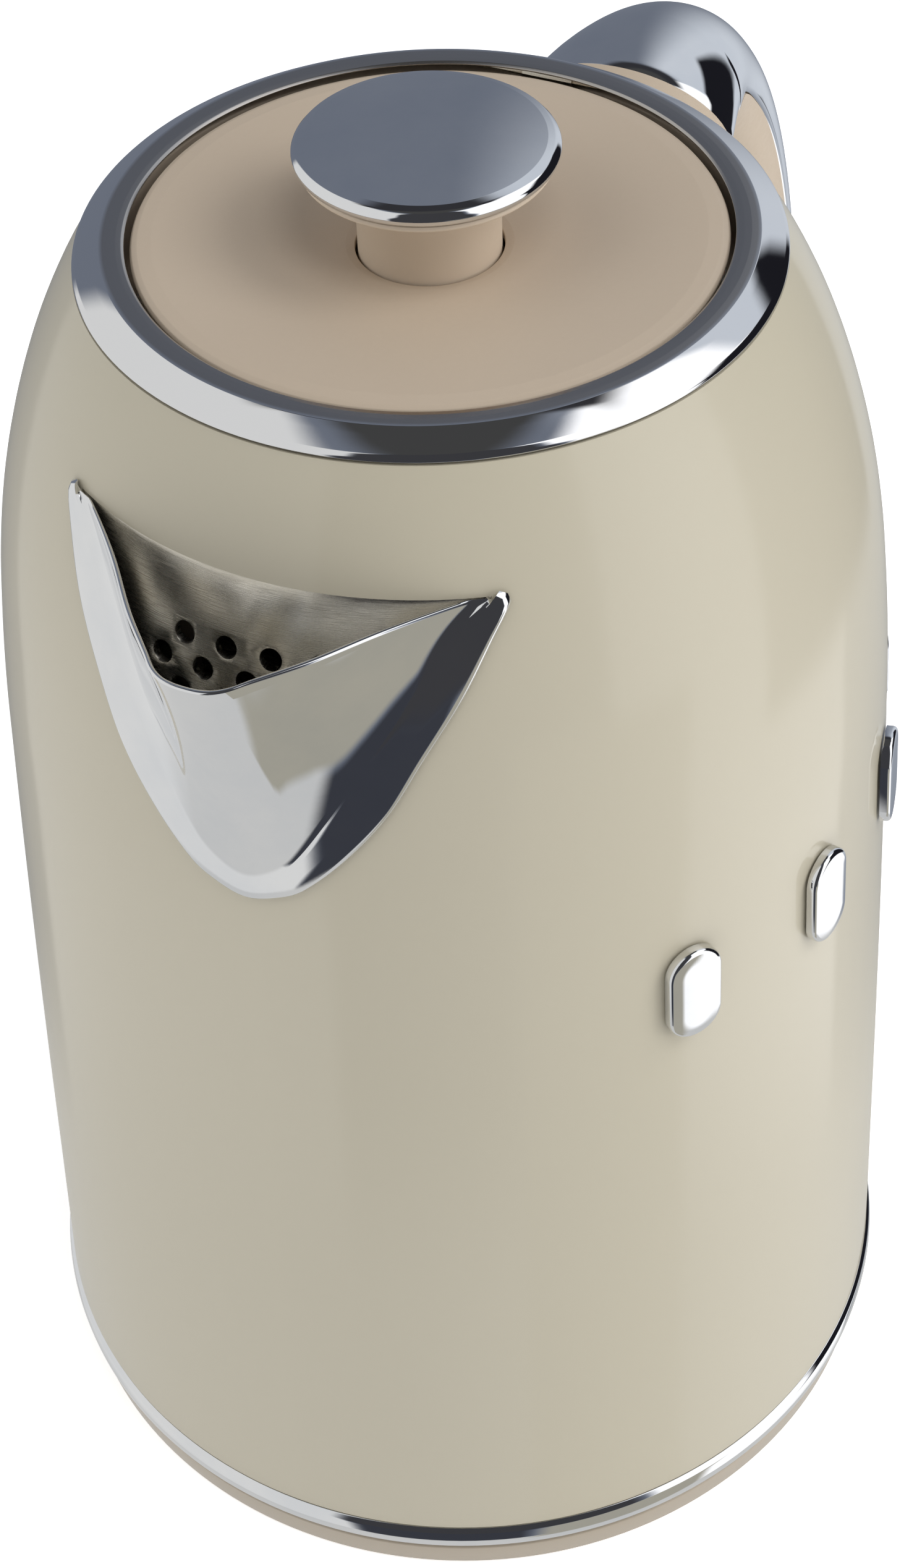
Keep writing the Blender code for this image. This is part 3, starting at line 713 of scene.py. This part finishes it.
def build_spout():
    """Pressed beak: flat flange, soft crease and a free scoop with a thin lip."""
    rings = []
    for share, edge, crease_at, lip_point in spout_sections():
        crease = on_body(*crease_at, FLANGE_LIFT)
        start = on_body(crease_at[0] * SCOOP_NARROW, crease_at[1] + SCOOP_SHIFT,
                        SCOOP_START - SCOOP_FALL * share ** 4)
        inward = Vector((math.cos(share * LIP_TURN), -math.sin(share * LIP_TURN), 0))
        scoop = [crease.lerp(start, 0.3), crease.lerp(start, 0.8), start]
        for row in range(1, SCOOP_ROWS + 1):
            t = row / SCOOP_ROWS
            hollow = 4 * t * (1 - t) * SCOOP_HOLLOW * (lip_point - start).length
            scoop.append(outside_body(start.lerp(lip_point, t) + inward * hollow, SCOOP_CLEAR))
        flange = [on_body(*edge, FLANGE_FOOT)]
        for across, lift in FLANGE_ROWS:
            flange.append(on_body(edge[0] + (crease_at[0] - edge[0]) * across,
                                  edge[1] + (crease_at[1] - edge[1]) * across, lift))
        thick = LIP_THICK * (1 - LIP_THINNING * share ** 3)
        top = [scoop[-1] + inward * thick * across + Vector((0, 0, rise))
               for across, rise in LIP_TOP]
        inner = [outside_body(point + inward * thick, SCOOP_BACK_CLEAR)
                 for point in reversed(scoop)]
        foot = [on_body(*crease_at, FLANGE_FOOT)]
        rings.append(flange + [crease] + scoop + top + inner + foot)
    mirrored = [[Vector((point.x, -point.y, point.z)) for point in ring] for ring in rings[1:]]
    mesh_data = bmesh.new()
    loft(mesh_data, list(reversed(mirrored)) + rings)
    beak = to_object("spout_skin", mesh_data, CHROME, 50)
    stand_for(beak, "jug", "polished_chrome", "spout_beak")


# ---------------------------------------------------------------- handle

def handle_width(distance):
    """Half width of the handle at a distance from the kettle's axis."""
    share = min(max((distance - HANDLE_ROOT_END) / HANDLE_ROOT_RUN, 0), 1)
    return HANDLE_ROOT_WIDE + (HANDLE_WIDE - HANDLE_ROOT_WIDE) * share ** 2 * (3 - 2 * share)


def handle_frames():
    """Points along the handle with the outward direction at each."""
    line = smooth_line(HANDLE_LINE, HANDLE_SPACING)
    frames = []
    for index, point in enumerate(line):
        along = line[min(index + 1, len(line) - 1)] - line[max(index - 1, 0)]
        along.normalize()
        frames.append((point, Vector((-along.y, along.x))))
    return frames


def handle_point(point, outward, angle, inset):
    """Point on the handle's oval section; 0 is the -Y flank and 90 the outside."""
    turn = math.radians(angle)
    lift = math.sin(turn) * (HANDLE_THICK - inset)
    side = math.cos(turn) * (handle_width(point.x) - inset)
    place = point + outward * lift
    return Vector((place.x, -side, place.y))


def seam_angles(frames):
    """How far the chrome's edge is raised above the flank; -90 wraps right round."""
    start = next(i for i, (point, _) in enumerate(frames) if point.x > SHELL_START)
    end = max(i for i, (point, _) in enumerate(frames) if point.x > SHELL_END)
    run = 0.0
    angles = {}
    for index in range(start, end + 1):
        if index > start:
            run += (frames[index][0] - frames[index - 1][0]).length
        share = min(max((run - COLLAR) / TONGUE, 0), 1)
        angles[index] = -90 + 90 * math.sqrt(1 - (1 - share) ** 2)
    run = 0.0
    for index in range(end, start, -1):
        if index < end:
            run += (frames[index][0] - frames[index + 1][0]).length
        share = min(run / SEAM_RUN, 1)
        if share < 1:
            angles[index] = SEAM_ANGLE * (1 - math.sqrt(1 - (1 - share) ** 2))
    return start, end, angles


def build_handle():
    """Beige inner half with its root and foot, and the chrome outer half let into it."""
    frames = handle_frames()
    start, end, angles = seam_angles(frames)

    def grip_ring(index, raised, inset, gap):
        point, outward = frames[index]
        low_from = 180 - raised + gap
        low_to = max(360 + raised - gap, low_from)
        low_inset = 0 if low_to > low_from else inset
        ring = [handle_point(point, outward, low_from + (low_to - low_from) * s / LOWER_STEPS,
                             low_inset) for s in range(LOWER_STEPS + 1)]
        ring += [handle_point(point, outward, raised + (180 - 2 * raised) * s / UPPER_STEPS, inset)
                 for s in range(UPPER_STEPS + 1)]
        return ring

    rings = []
    for index in range(len(frames)):
        if index < start or index > end:
            rings.append(grip_ring(index, SEAM_ANGLE, 0, 0.05))
        else:
            if index == start:
                rings.append(grip_ring(index, SEAM_ANGLE, 0, 0.05))
            rings.append(grip_ring(index, angles[index], SHELL_RECESS, SEAM_GAP))
            if index == end:
                rings.append(grip_ring(index, SEAM_ANGLE, 0, 0.05))
    mesh_data = bmesh.new()
    loft(mesh_data, rings)
    grip = to_object("grip_skin", mesh_data, BEIGE, 40)
    space = lathe("space", [(0, 20)] + [(body_radius(z) + GRIP_GAP, z) for z in range(20, 229, 4)]
                  + [(0, 228)], None, 96)
    cut(grip, space)
    hollow = bmesh.new()
    loft(hollow, [[handle_point(point, outward, 360 * s / 32, GRIP_WALL) for s in range(32)]
                  for point, outward in frames[::3]])
    cut(grip, to_object("hollow", hollow, None))
    cut(grip, prism("slot", [(LEVER_X - 4, 40), (LEVER_X + 4, 40), (LEVER_X + 4, 58),
                             (LEVER_X - 4, 58)], -4.6, 4.6))
    grip.data.shade_smooth()
    grip.data.set_sharp_from_angle(angle=math.radians(40))
    stand_for(grip, "jug", "beige_plastic", "handle_grip")

    shell_rings = []
    for index in range(start, end + 1):
        point, outward = frames[index]
        raised = angles[index] + (SEAM_TRIM if angles[index] > -90 else 0)
        inset_at_ends = 0.35 if index in (start, end) else 0
        ring = []
        for s in range(UPPER_STEPS + 1):
            turn = raised + (180 - 2 * raised) * s / UPPER_STEPS
            rim = 0.3 if s in (0, UPPER_STEPS) and raised > -89 else 0
            ring.append(handle_point(point, outward, turn, rim + inset_at_ends))
        for s in range(UPPER_STEPS, -1, -1):
            turn = raised + (180 - 2 * raised) * s / UPPER_STEPS
            ring.append(handle_point(point, outward, turn, SHELL_WALL))
        shell_rings.append(ring)
    mesh_data = bmesh.new()
    loft(mesh_data, shell_rings)
    shell = to_object("handle_shell_skin", mesh_data, CHROME, 60)
    stand_for(shell, "jug", "polished_chrome", "handle_shell")


def build_lever():
    neck = [(LEVER_X - 2, 46.6), (LEVER_X - 7, 46.4), (LEVER_X - 8, 43.6), (LEVER_X + 2, 42.2),
            (LEVER_X + 14, 39.6), (LEVER_X + 16.5, 41.6), (LEVER_X + 8, 44.8), (LEVER_X + 2, 46.6)]
    boss = circle((LEVER_X, LEVER_Z), 3.2, 16, -50, 230)
    lever = prism("lever_skin", boss + neck, -4.0, 4.0, CHROME)
    cut(lever, prism("bore", circle((LEVER_X, LEVER_Z), 1.5, 24), -10, 10))
    bevel(lever, 0.6, 3, 30)
    stand_for(lever, "lever", "polished_chrome", "power_lever")


# ---------------------------------------------------------------- badges, lid and knob

def build_badges():
    """Four plain upright bars with rounded faces, flush with the body's slope."""
    lean = math.atan((body_radius(BADGE_HEIGHT - BADGE_REACH)
                      - body_radius(BADGE_HEIGHT + BADGE_REACH)) / (2 * BADGE_REACH))
    for number, angle in enumerate(BADGE_ANGLES, 1):
        face = Matrix.Rotation(math.radians(angle), 4, "Z")
        face @= Matrix.Translation((body_radius(BADGE_HEIGHT) + BADGE_LIFT, 0, BADGE_HEIGHT))
        face @= Matrix.Rotation(-lean, 4, "Y")
        rings = []
        for depth, shrink in BADGE_ROUNDING:
            half_wide = BADGE_HALF_WIDE - shrink
            top = circle((0, BADGE_HALF_RUN), half_wide, 24, 0, 180)
            low = circle((0, -BADGE_HALF_RUN), half_wide, 24, 180, 360)
            rings.append([face @ Vector((depth, y, z)) for y, z in top + low])
        mesh_data = bmesh.new()
        loft(mesh_data, rings)
        bar = to_object(f"badge_skin_{number}", mesh_data, CHROME, 50)
        stand_for(bar, "jug", "polished_chrome", f"badge_bar_{number}")


def build_lid():
    stand_for(lathe("lid_top_skin", fillet(
        [(42.5, 230.4, 0.3), (42.5, 231.05, 0.4), (42.2, 231.5, 0.4), (41.4, 231.8, 0.8),
         (39.4, 231.9, 2.0), (30, 231.2, 8), (20, 230.3, 8), (12, 229.4, 1), (10.7, 229.1, 0.2),
         (10.7, 227.8), (12, 227.8), (22, 228.6), (26, 229.8)], 0.2, 5), BEIGE), "lid",
        "beige_plastic", "lid_top")
    stand_for(lathe("lid_cup_skin", fillet(
        [(36.5, 217.0, 0.8), (37.5, 218.0, 0.8), (38.2, 224.2), (41.5, 224.2, 0.3),
         (41.5, 226.2, 0.3), (36.6, 226.2), (36.0, 218.6, 0.8), (0, 218.6), (0, 217.0)]), STEEL),
        "lid", "brushed_steel", "lid_cup")
    stand_for(lathe("lid_gasket_skin", fillet(
        [(42.2, 222.3, 0.4), (42.2, 223.5, 0.4), (41.6, 223.9), (38.5, 223.9), (38.4, 221.9),
         (41.8, 221.9, 0.4)]), SILICONE), "lid", "clear_silicone", "lid_gasket")
    # The stem takes the lighter copy of the beige plastic, which is painted light.
    stand_for(lathe("knob_stem_skin", fillet(
        [(12.6, 222.0), (12.6, 223.6), (10.3, 223.6), (10.3, 239.8, 4.0), (11.0, 241.3, 1.5),
         (13.4, 242.2, 2.0), (17.5, 242.5, 0.6), (18.0, 242.9, 0.5), (17.8, 243.5, 0.2),
         (0, 243.5), (0, 241.4), (8.3, 241.4), (8.3, 222.0)], 0.2, 6), STEM_BEIGE_PAINTED_LIGHT,
        SMALL_STEPS), "knob", "beige_plastic", "knob_stem")
    dome = [(DOME_RADIUS * step / DOME_STEPS, KNOB_TOP - DOME_RISE * (step / DOME_STEPS) ** 2)
            for step in range(DOME_STEPS, -1, -1)]
    stand_for(lathe("knob_cap_skin", fillet(
        [(18.0, 243.8, 0.3), (18.7, 244.2, 0.9), (18.9, 245.1, 1.1), (18.1, 245.95, 1.3)]
        + [(radius, height, 0.5) for radius, height in dome] + [(0, 243.8)], 0.3, 7), CHROME),
        "knob", "polished_chrome", "knob_cap")


def build_spring():
    """Coil spring under the knob, built at one fixed length; the real one shortens as the knob
    goes down.
    """
    mesh_data = bmesh.new()
    steps = SPRING_TURNS * SPRING_STEPS
    rings = []
    for step in range(steps + 1):
        share = step / steps
        turn = Matrix.Rotation(math.tau * SPRING_TURNS * share, 4, "Z")
        height = SPRING_LOW + (SPRING_HIGH - SPRING_LOW) * share
        rings.append([turn @ Vector((radius, 0, z))
                      for radius, z in circle((SPRING_RADIUS, height), SPRING_WIRE, 10)])
    loft(mesh_data, rings)
    spring = stand_for(to_object("knob_spring_skin", mesh_data, STEEL), "lid", "brushed_steel",
                       "knob_spring")
    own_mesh(spring)


# ---------------------------------------------------------------- room, lights and camera

CAMERA_REACH = 348.3           # camera's distance from the kettle's axis on the plan
CAMERA_HEIGHT = 464.4
CAMERA_BEARING = 205.3         # where it stands, round the kettle
CAMERA_HEADING = 25.36
CAMERA_PITCH = 44.598
CAMERA_ROLL = 2.378
CAMERA_LENS = 66.78


def build_camera():
    data = bpy.data.cameras.new("camera")
    data.lens = CAMERA_LENS
    data.sensor_width = 36
    data.clip_start = 0.01
    camera = link(bpy.data.objects.new("camera", data))
    heading, pitch, roll = (math.radians(v) for v in (CAMERA_HEADING, CAMERA_PITCH, CAMERA_ROLL))
    forward = Vector((math.cos(heading) * math.cos(pitch), math.sin(heading) * math.cos(pitch),
                      -math.sin(pitch)))
    right = Vector((math.sin(heading), -math.cos(heading), 0))
    down = forward.cross(right)
    tilted_right = math.cos(roll) * right + math.sin(roll) * down
    tilted_down = -math.sin(roll) * right + math.cos(roll) * down
    turn = Matrix((tilted_right, -tilted_down, -forward)).transposed()
    bearing = math.radians(CAMERA_BEARING)
    camera.matrix_world = Matrix.Translation((CAMERA_REACH * math.cos(bearing) * MM,
                                              CAMERA_REACH * math.sin(bearing) * MM,
                                              CAMERA_HEIGHT * MM)) @ turn.to_4x4()
    bpy.context.scene.camera = camera


# Soft studio seen by the glossy surfaces: bearing from and to, height from and to, softness of
# the edge (all in degrees) and colour. Later panels lie over earlier ones.
STUDIO_BASE = (0.17, 0.19, 0.235)
STUDIO = [
    (-75, 7, -40, 64, 14, (0.66, 0.70, 0.76)),
    (70, 174, -90, 68, 3, (0.78, 0.78, 0.77)),
    (174, 241, -18, 90, 2.5, (0.05, 0.05, 0.055)),
    (174, 217, -90, -15, 3, (0.045, 0.048, 0.06)),
    (244, 322, -90, 68, 2.5, (1.35, 1.35, 1.36)),
    (-62, 100, 62, 90, 4, (0.035, 0.035, 0.04)),
    (-180, 360, 74, 90, 3, (0.06, 0.06, 0.06)),
    (288, 346, -32, 28, 2.5, (0.012, 0.012, 0.016)),
    (-180, 360, -90, -47, 3, (0.64, 0.64, 0.63)),
    (220, 264, -66, -20, 3, (0.42, 0.40, 0.335)),
]


# Lamps: name, bearing in degrees, height, distance and size in metres, power
LAMPS = [("key_lamp", 285, 1.05, 0.85, 0.6, 3.6), ("fill_lamp", 130, 1.0, 0.9, 0.8, 1.4),
         ("front_lamp", 275, 0.35, 0.95, 0.5, 1.2), ("top_lamp", 225, 1.3, 0.5, 0.5, 2.6)]
FLOOR_SIZE = 4000


def build_world():
    """World light made of soft-edged panels laid out by bearing and height."""
    world = bpy.data.worlds.new("studio")
    bpy.context.scene.world = world
    world.use_nodes = True
    tree = world.node_tree

    def node(kind, *inputs, **settings):
        made = tree.nodes.new(kind)
        for key, value in settings.items():
            setattr(made, key, value)
        for index, value in enumerate(inputs):
            if hasattr(value, "is_output"):
                tree.links.new(value, made.inputs[index])
            elif value is not None:
                made.inputs[index].default_value = value
        return made

    def edge(value, low, high, turned=False):
        made = node("ShaderNodeMapRange", value, low, high, float(turned), float(not turned),
                    interpolation_type="SMOOTHSTEP")
        return made.outputs["Result"]

    def times(first, second):
        return node("ShaderNodeMath", first, second, operation="MULTIPLY").outputs[0]

    place = node("ShaderNodeTexCoord").outputs["Generated"]
    split = node("ShaderNodeSeparateXYZ", place)
    signed = node("ShaderNodeMath", split.outputs["Y"], split.outputs["X"],
                  operation="ARCTAN2").outputs[0]
    signed = node("ShaderNodeMath", signed, operation="DEGREES").outputs[0]
    full = node("ShaderNodeMath", signed, 360.0, operation="FLOORED_MODULO").outputs[0]
    height = node("ShaderNodeMath", split.outputs["Z"], operation="ARCSINE").outputs[0]
    height = node("ShaderNodeMath", height, operation="DEGREES").outputs[0]
    colour = (*STUDIO_BASE, 1)
    for west, east, low, high, soft, tone in STUDIO:
        bearing = signed if west < 0 else full
        mask = 1.0
        if east - west < 360:
            mask = times(edge(bearing, west - soft, west + soft),
                         edge(bearing, east - soft, east + soft, True))
        if low > -90:
            mask = times(mask, edge(height, low - soft, low + soft))
        if high < 90:
            mask = times(mask, edge(height, high - soft, high + soft, True))
        mix = tree.nodes.new("ShaderNodeMix")
        mix.data_type = "RGBA"
        if hasattr(mask, "is_output"):
            tree.links.new(mask, mix.inputs["Factor"])
        for socket, value in ((6, colour), (7, (*tone, 1))):
            if hasattr(value, "is_output"):
                tree.links.new(value, mix.inputs[socket])
            else:
                mix.inputs[socket].default_value = value
        colour = mix.outputs[2]
    seen = tree.nodes.new("ShaderNodeMix")
    seen.data_type = "RGBA"
    tree.links.new(tree.nodes.new("ShaderNodeLightPath").outputs["Is Camera Ray"],
                   seen.inputs["Factor"])
    tree.links.new(colour, seen.inputs[6])
    seen.inputs[7].default_value = (1, 1, 1, 1)
    tree.links.new(seen.outputs[2], tree.nodes["Background"].inputs["Color"])


def build_lamp(name, bearing, height, distance, size, power):
    """Broad soft lamp that lights the kettle without showing in its gloss."""
    data = bpy.data.lights.new(name, "AREA")
    data.shape = "DISK"
    data.size = size
    data.energy = power
    lamp = link(bpy.data.objects.new(name, data))
    turn = math.radians(bearing)
    lamp.location = (distance * math.cos(turn), distance * math.sin(turn), height)
    aim = Vector((0, 0, 0.12)) - lamp.location
    lamp.rotation_euler = aim.to_track_quat("-Z", "Y").to_euler()
    lamp.visible_glossy = False


def build_room():
    """Pale floor, and the lamps that light it and the kettle."""
    mesh_data = bmesh.new()
    bmesh.ops.create_grid(mesh_data, x_segments=2, y_segments=2, size=FLOOR_SIZE)
    floor_look = Recipe("floor", (0.9, 0.9, 0.9), 0.9)
    floor_look.set("Emission Color", (1, 1, 1, 1))
    floor_look.set("Emission Strength", 0.6)
    floor = to_object("floor", mesh_data, floor_look.material, 0)
    floor.visible_glossy = False
    build_world()
    for lamp in LAMPS:
        build_lamp(*lamp)


# ---------------------------------------------------------------- put together

build_camera()
build_base()
build_rings()
build_body()
build_spout()
build_handle()
build_lever()
build_badges()
build_lid()
build_spring()
for entry in frame["record"]["subparts"]:
    node = frame["nodes"][entry["node"]]
    node.data.materials.clear()
    node.data.materials.append(BY_SLOT[entry["material_slot"]])
build_room()
bpy.context.scene.view_settings.view_transform = "Standard"
